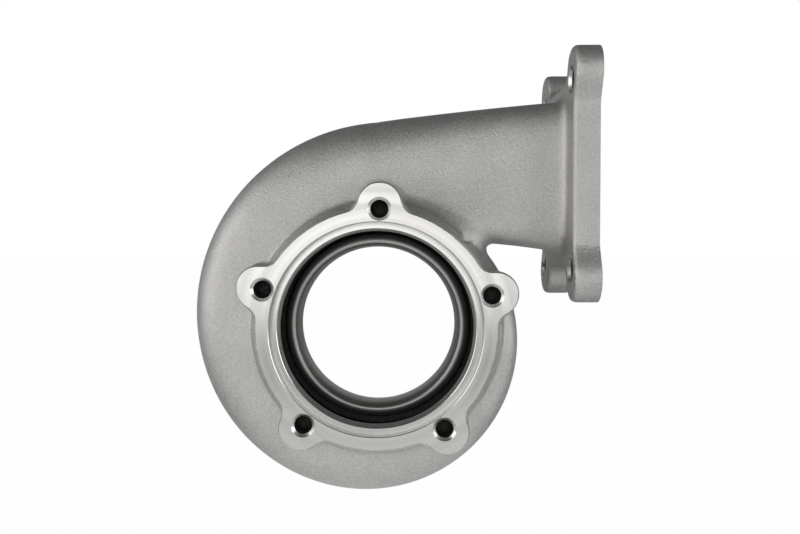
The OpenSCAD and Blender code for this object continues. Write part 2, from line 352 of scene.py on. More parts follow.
def outlet_distance(y, r):
    tube = np.maximum(r - OUTLET_R - OUTLET_WALL, RING_HEIGHT + 1 - y)
    rim = round_common(r - CLAMP_R - 1, RIM_STOCK_FRONT - y, RIM_ROUND)
    return np.maximum(round_union(tube, rim, RIM_ROUND), y - OVERALL_DEPTH - STOCK)


def flange_distance(x, y, z):
    """The inlet flange, with rounded rear edges and stock in front of its face."""
    ear_y = INLET_BOLT_Y / 2
    ear_z = INLET_BOLT_Z / 2 + EAR_REACH
    dy = np.abs(y - INLET[1])
    dz = np.abs(z - INLET[2])
    ear = np.hypot(dy - ear_y, dz - ear_z) - EAR_R + EAR_INSET
    plate = np.maximum(dy - ear_y - EAR_R + SIDE_WAIST, dz - ear_z - EAR_R + END_DIP)
    outline = round_union(ear, plate, EAR_FILLET)
    back = round_common(outline, INLET[0] - FLANGE_T - x, FLANGE_ROUND)
    return np.maximum(back, x - INLET[0] - STOCK)


def bore_distance(y, r):
    """The hollow that the turning starts from, which leaves stock on every turned face."""
    front = np.maximum(r - THROAT_R + STOCK, y - SLOT_FRONT - STOCK)
    along = np.clip((y - EXDUCER_DEPTH) / (OVERALL_DEPTH - EXDUCER_DEPTH), 0, 1)
    return np.minimum(front, r - mix(EXDUCER_R, OUTLET_R, along) + STOCK)


def casting_distance(points):
    """Distance from the cast skin and the passage cast in it, before machining."""
    x, y, z = points
    r, angle = polar(x, z)
    solid = skin_distance(x, y, z, r, angle)
    solid = round_union(solid, shoulder_distance(y, r, angle), SHOULDER_FILLET)
    solid = np.minimum(solid, np.maximum(web_distance(y, r, angle), y - SLOT_MIDDLE))
    solid = round_union(solid, lug_distance(x, y, z, r), LUG_FOOT_FILLET)
    solid = round_union(solid, ring_distance(x, y, z, r), RING_FOOT_FILLET)
    solid = round_union(solid, outlet_distance(y, r), OUTLET_FILLET)
    solid = round_union(solid, flange_distance(x, y, z), FLANGE_FILLET)
    hollow = np.minimum(passage_distance(x, y, z, r, angle), bore_distance(y, r))
    return np.maximum(solid, -hollow)


def without_pinches(field):
    """Fills the corners where two parts of the surface would touch along an edge of the grid."""
    fill = -0.01
    for _ in range(8):
        pinched = False
        for u, v in ((0, 1), (1, 2), (2, 0)):
            views = []
            for du, dv in ((0, 0), (1, 1), (0, 1), (1, 0)):
                cut = [slice(None)] * 3
                cut[u] = slice(du, field.shape[u] - 1 + du)
                cut[v] = slice(dv, field.shape[v] - 1 + dv)
                views.append(field[tuple(cut)])
            a, b, c, d = (view < 0 for view in views)
            crossed = (a == b) & (c == d) & (a != c)
            if crossed.any():
                pinched = True
                for view in views:
                    view[crossed] = np.minimum(view[crossed], fill)
        if not pinched:
            break
    return field


def surface_net(distance, low, high, voxel):
    """Quads round a solid given by a distance, each point pulled onto the surface."""
    axes = [np.arange(a, b + voxel, voxel) for a, b in zip(low, high)]
    shape = tuple(len(a) for a in axes)
    field = np.empty(shape, np.float32)
    for i, x in enumerate(axes[0]):
        y, z = np.meshgrid(axes[1], axes[2], indexing="ij")
        field[i] = distance((np.full_like(y, x), y, z))
    inside = without_pinches(field) < 0

    corners = [(i, j, k) for i in (0, 1) for j in (0, 1) for k in (0, 1)]
    cells = tuple(n - 1 for n in shape)

    def corner(array, c):
        return array[tuple(slice(o, o + n) for o, n in zip(c, cells))]

    count = sum(corner(inside, c).astype(np.int8) for c in corners)
    active = (count > 0) & (count < 8)
    number = np.full(cells, -1, np.int64)
    number[active] = np.arange(active.sum())
    at = np.argwhere(active)
    total = np.zeros((len(at), 3))
    crossings = np.zeros(len(at))
    for a in corners:
        for axis in range(3):
            if a[axis]:
                continue
            b = tuple(v + (i == axis) for i, v in enumerate(a))
            fa = corner(field, a)[active]
            fb = corner(field, b)[active]
            crossed = (fa < 0) != (fb < 0)
            t = np.where(crossed, fa / np.where(crossed, fa - fb, 1), 0)
            place = np.array(a, float)[None, :].repeat(len(at), 0)
            place[:, axis] += t
            total += place * crossed[:, None]
            crossings += crossed
    points = np.array([a[0] for a in axes]) + (at + total / crossings[:, None]) * voxel

    faces = []
    for axis in range(3):
        u, v = (axis + 1) % 3, (axis + 2) % 3
        lower = [slice(None)] * 3
        upper = [slice(None)] * 3
        lower[axis] = slice(0, -1)
        upper[axis] = slice(1, None)
        first, second = inside[tuple(lower)], inside[tuple(upper)]
        crossed = np.argwhere(first != second)
        crossed = crossed[(crossed[:, u] > 0) & (crossed[:, v] > 0)]
        crossed = crossed[(crossed[:, u] < cells[u]) & (crossed[:, v] < cells[v])]
        outward = first[tuple(crossed.T)]
        ring = []
        for du, dv in ((1, 1), (0, 1), (0, 0), (1, 0)):
            cell = crossed.copy()
            cell[:, u] -= du
            cell[:, v] -= dv
            ring.append(number[tuple(cell.T)])
        ring = np.stack(ring, 1)
        faces.append(np.where(outward[:, None], ring, ring[:, ::-1]))
    faces = np.concatenate(faces)

    # Four moves onto the surface, none of them longer than 0.4 of a voxel
    step = 0.05
    for _ in range(4):
        here = distance(points.T)
        slope = np.stack(
            [(distance((points + step * np.eye(3)[i]).T) - here) / step for i in range(3)], 1
        )
        length = np.maximum((slope**2).sum(1), 0.25)
        move = -(here / length)[:, None] * slope
        far = np.linalg.norm(move, axis=1)
        points = points + move * np.minimum(1, 0.4 * voxel / np.maximum(far, 1e-9))[:, None]
    return points, faces


def mesh_object(name, points, faces):
    mesh = bpy.data.meshes.new(name)
    mesh.vertices.add(len(points))
    mesh.vertices.foreach_set("co", (np.asarray(points) * MM).astype(np.float32).ravel())
    size = faces.shape[1]
    mesh.loops.add(faces.size)
    mesh.loops.foreach_set("vertex_index", faces.astype(np.int32).ravel())
    mesh.polygons.add(len(faces))
    mesh.polygons.foreach_set("loop_start", np.arange(0, faces.size, size, dtype=np.int32))
    mesh.update(calc_edges=True)
    mesh.validate()
    obj = bpy.data.objects.new(name, mesh)
    bpy.context.scene.collection.objects.link(obj)
    return obj


def solid(name, points, faces, material):
    """Closed mesh with outward faces and one material."""
    mesh = bpy.data.meshes.new(name)
    points = [tuple(float(c) * MM for c in p) for p in points]
    mesh.from_pydata(points, [], [tuple(int(i) for i in f) for f in faces])
    shape = bmesh.new()
    shape.from_mesh(mesh)
    bmesh.ops.recalc_face_normals(shape, faces=shape.faces)
    shape.to_mesh(mesh)
    shape.free()
    mesh.materials.append(material)
    obj = bpy.data.objects.new(name, mesh)
    bpy.context.scene.collection.objects.link(obj)
    return obj


def turned(name, outline, material, steps=BORE_STEPS):
    """Solid turned about the Y axis from an outline of (radius, y). One that starts on the axis
    ends there too, and any other is a ring."""
    on_axis = outline[0][0] == 0
    rings = np.array(outline[1:-1] if on_axis else outline, float)
    angle = 2 * np.pi * np.arange(steps) / steps
    r, y = rings[:, :1], np.repeat(rings[:, 1:], steps, 1)
    points = np.stack([r * np.cos(angle), y, r * np.sin(angle)], -1).reshape(-1, 3)
    here = np.arange(steps)
    after = (here + 1) % steps
    pairs = [(k, k + 1) for k in range(len(rings) - 1)]
    if not on_axis:
        pairs.append((len(rings) - 1, 0))
    faces = []
    for k, m in pairs:
        a, b = k * steps, m * steps
        faces += zip(a + here, a + after, b + after, b + here)
    if on_axis:
        first, last = len(points), len(points) + 1
        points = np.concatenate([points, [(0, outline[0][1], 0), (0, outline[-1][1], 0)]])
        b = (len(rings) - 1) * steps
        faces += zip([first] * steps, after, here)
        faces += zip([last] * steps, b + here, b + after)
    return solid(name, points, faces, material)


def box_solid(name, low, high, material):
    xs, ys, zs = zip(low, high)
    corners = [(x, y, z) for x in xs for y in ys for z in zs]
    sides = [(0, 1, 3, 2), (4, 6, 7, 5), (0, 4, 5, 1), (2, 3, 7, 6), (0, 2, 6, 4), (1, 5, 7, 3)]
    return solid(name, corners, sides, material)


def cut(body, cutter):
    """Takes the cutter out of the body. The new faces keep the cutter's material."""
    step = body.modifiers.new("cut", "BOOLEAN")
    step.operation = "DIFFERENCE"
    step.solver = "MANIFOLD"
    step.material_mode = "TRANSFER"
    step.object = cutter
    bpy.context.view_layer.update()
    evaluated = body.evaluated_get(bpy.context.evaluated_depsgraph_get())
    mesh = bpy.data.meshes.new_from_object(evaluated)
    body.modifiers.remove(step)
    old = body.data
    body.data = mesh
    bpy.data.meshes.remove(old)
    bpy.data.objects.remove(cutter)


def second_finish(cutter, material, rows, steps):
    """Gives the faces of some rows of a turned cutter another finish."""
    cutter.data.materials.append(material)
    for face in cutter.data.polygons:
        if face.index // steps in rows:
            face.material_index = 1


def hole_solid(name, place, axis, outline, finish, cones):
    """Turned cutter for a tapped hole. Its outline's y runs along the axis, from the mouth at
    y = 0. The rows named as cones are bright countersinks, and the rest is the hole in dark painted
    shade."""
    obj = turned(name, outline, finish["hole"], HOLE_STEPS)
    second_finish(obj, finish["drilled"], cones, HOLE_STEPS)
    turn = Vector((0, 1, 0)).rotation_difference(Vector(axis)).to_matrix().to_4x4()
    obj.data.transform(Matrix.Translation(Vector(place) * MM) @ turn)
    return obj


def bolt_places():
    """Mouths of the five tapped holes on the centre housing face."""
    turns = [math.radians(FIRST_BOLT + 360 * k / BOLT_COUNT) for k in range(BOLT_COUNT)]
    return [(BOLT_CIRCLE_R * math.cos(a), 0, BOLT_CIRCLE_R * math.sin(a)) for a in turns]


def inlet_bolt_places():
    """Mouths of the four tapped holes on the inlet face."""
    return [
        (INLET[0], INLET[1] + y * INLET_BOLT_Y / 2, INLET[2] + z * INLET_BOLT_Z / 2)
        for y in (-1, 1) for z in (-1, 1)
    ]


def machine(casting, finish):
    """Turns, mills, drills and taps the casting."""
    wide = CLAMP_R + 25
    cut(casting, box_solid("face_cut", (-wide, -10, -wide), (wide, 0, wide), finish["turned"]))
    slot_outer = PASSAGE_INNER + NOZZLE_HEIGHT
    slot_back = CONTOUR_DEPTH + NOZZLE_DEPTH + 2 * LAP
    slot_inner = THROAT_R - THROAT_NARROWING - LAP
    # The slot's walls take the passage's painted shade
    cut(casting, turned("slot_cut", [
        (slot_inner, SLOT_FRONT),
        (PASSAGE_INNER + 0.5, SLOT_FRONT),
        (slot_outer, SLOT_FRONT + NOZZLE_DEPTH),
        (slot_outer, slot_back),
        (slot_inner + LAP, slot_back),
        (slot_inner, CONTOUR[0][1] + LAP),
    ], finish["passage"]))
    relief_back = PILOT_DEPTH + RELIEF_DEPTH
    bore = [
        (0, -PAST),
        (PILOT_R + EDGE + PAST, -PAST),
        (PILOT_R, EDGE),
        (PILOT_R, relief_back),
        (PILOT_R - RELIEF_W, relief_back),
        (PILOT_R - RELIEF_W, PILOT_DEPTH),
        (THROAT_R + EDGE, PILOT_DEPTH),
        (THROAT_R, PILOT_DEPTH + EDGE),
        (THROAT_R - THROAT_NARROWING, SLOT_FRONT - 1),
        (THROAT_R - THROAT_NARROWING, SLOT_FRONT),
        (slot_inner, SLOT_FRONT),
        (slot_inner, CONTOUR[0][1] + LAP),
        *CONTOUR,
        (EXDUCER_R, EXDUCER_DEPTH + EXDUCER_LEN),
        (OUTLET_R, OVERALL_DEPTH - OUTLET_LAND),
        (OUTLET_R, OVERALL_DEPTH - EDGE),
        (OUTLET_R + EDGE + PAST, OVERALL_DEPTH + PAST),
        (0, OVERALL_DEPTH + PAST),
    ]
    bore_cut = turned("bore_cut", bore, finish["turned"], BORE_STEPS)
    lip = bore.index(CONTOUR[0])
    # The contour, exducer and outlet bore take the greyer finish with its painted shade
    second_finish(bore_cut, finish["bored"], range(lip - 2, len(bore) - 4), BORE_STEPS)
    cut(casting, bore_cut)

    tube_r = OUTLET_R + OUTLET_WALL - GROOVE_DEPTH
    rim_front = OVERALL_DEPTH - CLAMP_RIM
    taper = (CLAMP_R - tube_r) * math.tan(math.radians(CLAMP_ANGLE))
    rim_outer = CLAMP_R + PAST
    # The groove starts in front of the cast rim and its fillet, so that no fin of stock is left
    groove_front = RIM_STOCK_FRONT - GROOVE_LEAD
    cut(casting, turned("rim_cut", [
        (tube_r, groove_front),
        (tube_r, rim_front - taper),
        (CLAMP_R, rim_front),
        (CLAMP_R, OVERALL_DEPTH - EDGE),
        (CLAMP_R - EDGE, OVERALL_DEPTH),
        (CLAMP_R - EDGE, OVERALL_DEPTH + PAST),
        (rim_outer, OVERALL_DEPTH + PAST),
        (rim_outer, groove_front),
    ], finish["turned"]))
    cut(casting, turned("outlet_face_cut", [
        (0, OVERALL_DEPTH),
        (CLAMP_R + 1, OVERALL_DEPTH),
        (CLAMP_R + 1, OVERALL_DEPTH + PAST),
        (0, OVERALL_DEPTH + PAST),
    ], finish["turned"]))

    reach = INLET_BOLT_Z
    cut(casting, box_solid(
        "inlet_face_cut",
        (INLET[0], INLET[1] - reach, INLET[2] - reach),
        (INLET[0] + PAST, INLET[1] + reach, INLET[2] + reach),
        finish["milled"],
    ))

    sink = TAP_CHAMFER_R - THREAD_MAJOR_R
    for place in bolt_places():
        cut(casting, hole_solid("tapped_hole_cut", place, (0, 1, 0), [
            (0, -PAST),
            (TAP_CHAMFER_R + PAST, -PAST),
            (THREAD_MAJOR_R, sink),
            (THREAD_MAJOR_R, TAP_DEPTH - TAP_RUNOUT),
            (THREAD_MINOR_R, TAP_DEPTH - DRILL_POINT),
            (0, TAP_DEPTH + DRILL_POINT),
        ], finish, [0]))
    sink = INLET_CHAMFER_R - INLET_THREAD_MAJOR_R
    for place in inlet_bolt_places():
        cut(casting, hole_solid("inlet_hole_cut", place, (-1, 0, 0), [
            (0, -PAST),
            (INLET_CHAMFER_R + PAST, -PAST),
            (INLET_THREAD_MAJOR_R, sink),
            (INLET_THREAD_MAJOR_R, FLANGE_T - sink),
            (INLET_CHAMFER_R + PAST, FLANGE_T + PAST),
            (0, FLANGE_T + PAST),
        ], finish, [0, 2]))


def smooth_by_angle(mesh, limit=28):
    """Smooth faces, with sharp edges where two of them meet at more than the limit in degrees."""
    shape = bmesh.new()
    shape.from_mesh(mesh)
    bmesh.ops.dissolve_degenerate(shape, dist=SLIVER * MM, edges=shape.edges)
    for face in shape.faces:
        face.smooth = True
    for edge in shape.edges:
        if len(edge.link_faces) == 2:
            edge.smooth = edge.calc_face_angle(0) < math.radians(limit)
    shape.to_mesh(mesh)
    shape.free()


def hex_colour(code):
    """Linear colour from an sRGB hex value."""
    parts = [int(code[i:i + 2], 16) / 255 for i in (1, 3, 5)]
    linear = [c / 12.92 if c <= 0.04045 else ((c + 0.055) / 1.055) ** 2.4 for c in parts]
    return (*linear, 1.0)


def add_node(tree, kind, inputs=None, **settings):
    """Adds a node. Each input is a value, or an output socket to link to it."""
    node = tree.nodes.new(kind)
    for name, value in settings.items():
        setattr(node, name, value)
    for name, value in (inputs or {}).items():
        if isinstance(value, bpy.types.NodeSocket):
            tree.links.new(value, node.inputs[name])
        else:
            node.inputs[name].default_value = value
    return node


def new_material(name):
    """Empty node material and its tree."""
    material = bpy.data.materials.new(name)
    material.use_nodes = True
    material.node_tree.nodes.clear()
    return material, material.node_tree


def shot_blasted_cast_stainless():
    """Investment-cast stainless steel after shot blasting: a light grey satin skin with a fine
    grain, faint cloudy patches and shallow dimples that soften every reflection."""
    material, tree = new_material("shot_blasted_cast_stainless")
    place = add_node(tree, "ShaderNodeTexCoord").outputs["Object"]
    # Blasting grain of about 0.4 mm, drawn at 0.8 mm so that it shows
    grain = add_node(tree, "ShaderNodeTexNoise", {
        "Vector": place, "Scale": 1 / (0.8 * MM), "Detail": 2.0, "Roughness": 0.6,
    }).outputs["Fac"]
    # Cloudy patches of about 18 mm left by the mould coat
    patches = add_node(tree, "ShaderNodeTexNoise", {
        "Vector": place, "Scale": 1 / (18 * MM), "Detail": 4.0, "Roughness": 0.55,
    }).outputs["Fac"]
    # Shallow dimples 2.5 mm apart
    dimples = add_node(tree, "ShaderNodeTexVoronoi", {
        "Vector": place, "Scale": 1 / (2.5 * MM), "Randomness": 1.0,
    }, feature="SMOOTH_F1").outputs["Distance"]
    blend = add_node(tree, "ShaderNodeMath", {
        0: patches, 1: 0.25, 2: grain,
    }, operation="MULTIPLY_ADD")
    ramp = add_node(tree, "ShaderNodeValToRGB", {"Fac": blend.outputs[0]})
    ramp.color_ramp.elements[0].position = 0.38
    ramp.color_ramp.elements[0].color = hex_colour("#A8A7A6")
    ramp.color_ramp.elements[1].position = 0.88
    ramp.color_ramp.elements[1].color = hex_colour("#CFCECC")
    rough = add_node(tree, "ShaderNodeMapRange", {
        "Value": grain, "From Min": 0.3, "From Max": 0.7, "To Min": 0.48, "To Max": 0.62,
    }).outputs["Result"]
    coarse = add_node(tree, "ShaderNodeBump", {
        "Height": dimples, "Strength": 0.35, "Distance": 0.15 * MM,
    }).outputs["Normal"]
    fine = add_node(tree, "ShaderNodeBump", {
        "Height": grain, "Strength": 0.9, "Distance": 0.22 * MM, "Normal": coarse,
    }).outputs["Normal"]
    shader = add_node(tree, "ShaderNodeBsdfPrincipled", {
        "Base Color": ramp.outputs["Color"], "Metallic": 1.0, "Roughness": rough, "Normal": fine,
    })
    add_node(tree, "ShaderNodeOutputMaterial", {"Surface": shader.outputs["BSDF"]})
    return material


def painted_shade_cast_stainless():
    """Painted shade for the skin of the gas passage and of the holes' depths: the cast steel given
    a dark grey with random mottling, rough and nearly without gloss."""
    material, tree = new_material("painted_shade_cast_stainless")
    place = add_node(tree, "ShaderNodeTexCoord").outputs["Object"]
    # Mottling of the painted shade, in flakes of about 1.5 mm
    shade_mottle = add_node(tree, "ShaderNodeTexNoise", {
        "Vector": place, "Scale": 1 / (1.5 * MM), "Detail": 4.0, "Roughness": 0.6,
    }).outputs["Fac"]
    # Dark greys that paint in the shade of the passage and the holes
    ramp = add_node(tree, "ShaderNodeValToRGB", {"Fac": shade_mottle})
    ramp.color_ramp.elements[0].position = 0.3
    ramp.color_ramp.elements[0].color = hex_colour("#3B3A39")
    ramp.color_ramp.elements[1].position = 0.7
    ramp.color_ramp.elements[1].color = hex_colour("#565553")
    bump = add_node(tree, "ShaderNodeBump", {
        "Height": shade_mottle, "Strength": 0.6, "Distance": 0.15 * MM,
    }).outputs["Normal"]
    shader = add_node(tree, "ShaderNodeBsdfPrincipled", {
        "Base Color": ramp.outputs["Color"], "Metallic": 1.0, "Roughness": 0.7, "Normal": bump,
    })
    add_node(tree, "ShaderNodeOutputMaterial", {"Surface": shader.outputs["BSDF"]})
    return material


def bored_stainless():
    """The wheel contour and outlet, bored: duller than the turned faces, and greyer as painted
    shade for the depth of the bore, with a soft sheen that follows the bore round."""
    material, tree = new_material("bored_stainless")
    place = add_node(tree, "ShaderNodeTexCoord").outputs["Object"]
    parts = add_node(tree, "ShaderNodeSeparateXYZ", {"Vector": place})
    # Feed marks of about 0.25 mm, drawn at 0.6 mm so that they show
    feed = add_node(tree, "ShaderNodeMath", {
        0: parts.outputs["Y"], 1: 1 / (0.6 * MM),
    }, operation="MULTIPLY").outputs[0]
    marks = add_node(tree, "ShaderNodeTexNoise", {
        "W": feed, "Scale": 1.0, "Detail": 2.0,
    }, noise_dimensions="1D").outputs["Fac"]
    rough = add_node(tree, "ShaderNodeMapRange", {
        "Value": marks, "From Min": 0.3, "From Max": 0.7, "To Min": 0.38, "To Max": 0.46,
    }).outputs["Result"]
    bump = add_node(tree, "ShaderNodeBump", {
        "Height": marks, "Strength": 0.4, "Distance": 0.03 * MM,
    }).outputs["Normal"]
    # Greyer than the turned steel: painted shade for the depth of the bore
    shader = add_node(tree, "ShaderNodeBsdfPrincipled", {
        "Base Color": hex_colour("#9C9B99"), "Metallic": 1.0, "Roughness": rough, "Normal": bump,
    })
    add_node(tree, "ShaderNodeOutputMaterial", {"Surface": shader.outputs["BSDF"]})
    return material


def turned_stainless():
    """Stainless steel turned on a lathe: bright, with fine rings round the wheel axis that draw
    each reflection out across them."""
    material, tree = new_material("turned_stainless")
    place = add_node(tree, "ShaderNodeTexCoord").outputs["Object"]
    parts = add_node(tree, "ShaderNodeSeparateXYZ", {"Vector": place})
    flat = add_node(tree, "ShaderNodeCombineXYZ", {
        "X": parts.outputs["X"], "Z": parts.outputs["Z"],
    })
    radius = add_node(tree, "ShaderNodeVectorMath", {
        0: flat.outputs[0],
    }, operation="LENGTH").outputs["Value"]
    outward = add_node(tree, "ShaderNodeVectorMath", {
        0: flat.outputs[0],
    }, operation="NORMALIZE").outputs["Vector"]
    across = add_node(tree, "ShaderNodeVectorMath", {
        0: outward, 1: (0.0, 1.0, 0.0),
    }, operation="ADD").outputs["Vector"]
    travel = add_node(tree, "ShaderNodeMath", {
        0: radius, 1: parts.outputs["Y"],
    }, operation="ADD").outputs[0]
    # Feed marks of about 0.2 mm, drawn at 0.5 mm so that they show
    feed = add_node(tree, "ShaderNodeMath", {
        0: travel, 1: 1 / (0.5 * MM),
    }, operation="MULTIPLY").outputs[0]
    marks = add_node(tree, "ShaderNodeTexNoise", {
        "W": feed, "Scale": 1.0, "Detail": 2.0,
    }, noise_dimensions="1D").outputs["Fac"]
    # Faint bands 4 mm wide where the tool dulled
    band = add_node(tree, "ShaderNodeMath", {
        0: travel, 1: 1 / (4 * MM),
    }, operation="MULTIPLY").outputs[0]
    bands = add_node(tree, "ShaderNodeTexNoise", {
        "W": band, "Scale": 1.0, "Detail": 1.0,
    }, noise_dimensions="1D").outputs["Fac"]
    rough = add_node(tree, "ShaderNodeMapRange", {
        "Value": bands, "From Min": 0.3, "From Max": 0.7, "To Min": 0.2, "To Max": 0.3,
    }).outputs["Result"]
    bump = add_node(tree, "ShaderNodeBump", {
        "Height": marks, "Strength": 0.5, "Distance": 0.03 * MM,
    }).outputs["Normal"]
    shader = add_node(tree, "ShaderNodeBsdfPrincipled", {
        "Base Color": hex_colour("#C3C2C0"), "Metallic": 1.0, "Roughness": rough, "Normal": bump,
        "Anisotropic": 0.7, "Tangent": across,
    })
    add_node(tree, "ShaderNodeOutputMaterial", {"Surface": shader.outputs["BSDF"]})
    return material


def milled_stainless():
    """Stainless steel faced with a wide milling cutter: flat and bright, with long shallow arcs."""
    material, tree = new_material("milled_stainless")
    place = add_node(tree, "ShaderNodeTexCoord").outputs["Object"]
    # Arcs of a 160 mm cutter whose centre passes in front of the port
    centred = add_node(tree, "ShaderNodeVectorMath", {
        0: place, 1: (0.0, (INLET[1] + 60) * MM, (INLET[2] + 60) * MM),
    }, operation="SUBTRACT").outputs["Vector"]
    parts = add_node(tree, "ShaderNodeSeparateXYZ", {"Vector": centred})
    flat = add_node(tree, "ShaderNodeCombineXYZ", {
        "Y": parts.outputs["Y"], "Z": parts.outputs["Z"],
    })
    radius = add_node(tree, "ShaderNodeVectorMath", {
        0: flat.outputs[0],
    }, operation="LENGTH").outputs["Value"]
    outward = add_node(tree, "ShaderNodeVectorMath", {
        0: flat.outputs[0],
    }, operation="NORMALIZE").outputs["Vector"]
    # Feed marks of about 0.3 mm, drawn at 0.8 mm so that they show
    feed = add_node(tree, "ShaderNodeMath", {
        0: radius, 1: 1 / (0.8 * MM),
    }, operation="MULTIPLY").outputs[0]
    marks = add_node(tree, "ShaderNodeTexNoise", {
        "W": feed, "Scale": 1.0, "Detail": 2.0,
    }, noise_dimensions="1D").outputs["Fac"]
    bump = add_node(tree, "ShaderNodeBump", {
        "Height": marks, "Strength": 0.5, "Distance": 0.03 * MM,
    }).outputs["Normal"]
    rough = add_node(tree, "ShaderNodeMapRange", {
        "Value": marks, "From Min": 0.3, "From Max": 0.7, "To Min": 0.24, "To Max": 0.34,
    }).outputs["Result"]
    shader = add_node(tree, "ShaderNodeBsdfPrincipled", {
        "Base Color": hex_colour("#D0CFCD"), "Metallic": 1.0, "Roughness": rough, "Normal": bump,
        "Anisotropic": 0.6, "Tangent": outward,
    })
    add_node(tree, "ShaderNodeOutputMaterial", {"Surface": shader.outputs["BSDF"]})
    return material


def drilled_stainless():
    """Stainless steel cut by a drill and a countersink: bright, with slight scoring."""
    material, tree = new_material("drilled_stainless")
    place = add_node(tree, "ShaderNodeTexCoord").outputs["Object"]
    scoring = add_node(tree, "ShaderNodeTexNoise", {
        "Vector": place, "Scale": 1 / (0.8 * MM), "Detail": 2.0,
    }).outputs["Fac"]
    rough = add_node(tree, "ShaderNodeMapRange", {
        "Value": scoring, "From Min": 0.3, "From Max": 0.7, "To Min": 0.22, "To Max": 0.34,
    }).outputs["Result"]
    bump = add_node(tree, "ShaderNodeBump", {
        "Height": scoring, "Strength": 0.3, "Distance": 0.05 * MM,
    }).outputs["Normal"]
    shader = add_node(tree, "ShaderNodeBsdfPrincipled", {
        "Base Color": hex_colour("#C8C7C5"), "Metallic": 1.0, "Roughness": rough, "Normal": bump,
    })
    add_node(tree, "ShaderNodeOutputMaterial", {"Surface": shader.outputs["BSDF"]})
    return material


def tapped_stainless():
    """Stainless steel cut by a tap: slightly torn flanks, coloured darker than the drilled steel as
    painted shade for the inside of the holes.
    """
    material, tree = new_material("tapped_stainless")
    place = add_node(tree, "ShaderNodeTexCoord").outputs["Object"]
    tearing = add_node(tree, "ShaderNodeTexNoise", {
        "Vector": place, "Scale": 1 / (0.5 * MM), "Detail": 3.0,
    }).outputs["Fac"]
    # Darker greys: painted shade inside the holes, mottled where the flanks tore
    ramp = add_node(tree, "ShaderNodeValToRGB", {"Fac": tearing})
    ramp.color_ramp.elements[0].position = 0.35
    ramp.color_ramp.elements[0].color = hex_colour("#7E7D7B")
    ramp.color_ramp.elements[1].position = 0.65
    ramp.color_ramp.elements[1].color = hex_colour("#A9A8A6")
    bump = add_node(tree, "ShaderNodeBump", {
        "Height": tearing, "Strength": 0.4, "Distance": 0.06 * MM,
    }).outputs["Normal"]
    shader = add_node(tree, "ShaderNodeBsdfPrincipled", {
        "Base Color": ramp.outputs["Color"], "Metallic": 1.0, "Roughness": 0.36, "Normal": bump,
    })
    add_node(tree, "ShaderNodeOutputMaterial", {"Surface": shader.outputs["BSDF"]})
    return material


def thread_tree(material):
    """Geometry Nodes that put one screw thread at every point of a mesh."""
    tree = bpy.data.node_groups.new("screw_threads", "GeometryNodeTree")
    sockets = {}
    face = tree.interface
    face.new_socket("Geometry", in_out="INPUT", socket_type="NodeSocketGeometry")
    measures = ("Major radius", "Minor radius", "Pitch", "Length")
    wanted = [(name, "NodeSocketFloat") for name in measures] + [("Turn", "NodeSocketVector")]
    for name, kind in wanted:
        sockets[name] = face.new_socket(name, in_out="INPUT", socket_type=kind).identifier
    face.new_socket("Geometry", in_out="OUTPUT", socket_type="NodeSocketGeometry")
    given = add_node(tree, "NodeGroupInput").outputs
    turns = add_node(tree, "ShaderNodeMath", {
        0: given["Length"], 1: given["Pitch"],
    }, operation="DIVIDE")
    helix = add_node(tree, "GeometryNodeCurveSpiral", {
        "Resolution": 28, "Rotations": turns.outputs[0], "Start Radius": given["Major radius"],
        "End Radius": given["Major radius"], "Height": given["Length"],
    }).outputs["Curve"]
    upright = add_node(tree, "GeometryNodeSetCurveNormal", {
        "Curve": helix,
    }, mode="Z_UP").outputs["Curve"]
    depth = add_node(tree, "ShaderNodeMath", {
        0: given["Major radius"], 1: given["Minor radius"],
    }, operation="SUBTRACT").outputs[0]
    root = add_node(tree, "ShaderNodeMath", {0: depth, 1: 0.1}, operation="MULTIPLY").outputs[0]
    tip = add_node(tree, "ShaderNodeMath", {0: depth, 1: -1.0}, operation="MULTIPLY").outputs[0]
    foot = add_node(tree, "ShaderNodeMath", {
        0: given["Pitch"], 1: 0.44,
    }, operation="MULTIPLY").outputs[0]
    crest = add_node(tree, "ShaderNodeMath", {
        0: given["Pitch"], 1: 0.12,
    }, operation="MULTIPLY").outputs[0]
    # The ridge is rooted a tenth of its height deep, and narrows from 0.88 to 0.24 of a pitch
    corners = []
    ends = ((root, foot, -1.0), (root, foot, 1.0), (tip, crest, 1.0), (tip, crest, -1.0))
    for along, side, sign in ends:
        signed = add_node(tree, "ShaderNodeMath", {
            0: side, 1: sign,
        }, operation="MULTIPLY").outputs[0]
        corners.append(add_node(tree, "ShaderNodeCombineXYZ", {
            "X": along, "Y": signed,
        }).outputs[0])
    profile = add_node(tree, "GeometryNodeCurvePrimitiveQuadrilateral", {
        "Point 1": corners[0], "Point 2": corners[1], "Point 3": corners[2], "Point 4": corners[3],
    }, mode="POINTS").outputs["Curve"]
    ridge = add_node(tree, "GeometryNodeCurveToMesh", {
        "Curve": upright, "Profile Curve": profile, "Fill Caps": True,
    }).outputs["Mesh"]
    turn = add_node(tree, "FunctionNodeEulerToRotation", {
        "Euler": given["Turn"],
    }).outputs["Rotation"]
    placed = add_node(tree, "GeometryNodeInstanceOnPoints", {
        "Points": given["Geometry"], "Instance": ridge, "Rotation": turn,
    }).outputs["Instances"]
    real = add_node(tree, "GeometryNodeRealizeInstances", {"Geometry": placed}).outputs["Geometry"]
    finished = add_node(tree, "GeometryNodeSetMaterial", {
        "Geometry": real, "Material": material,
    }).outputs["Geometry"]
    add_node(tree, "NodeGroupOutput", {"Geometry": finished})
    return tree, sockets


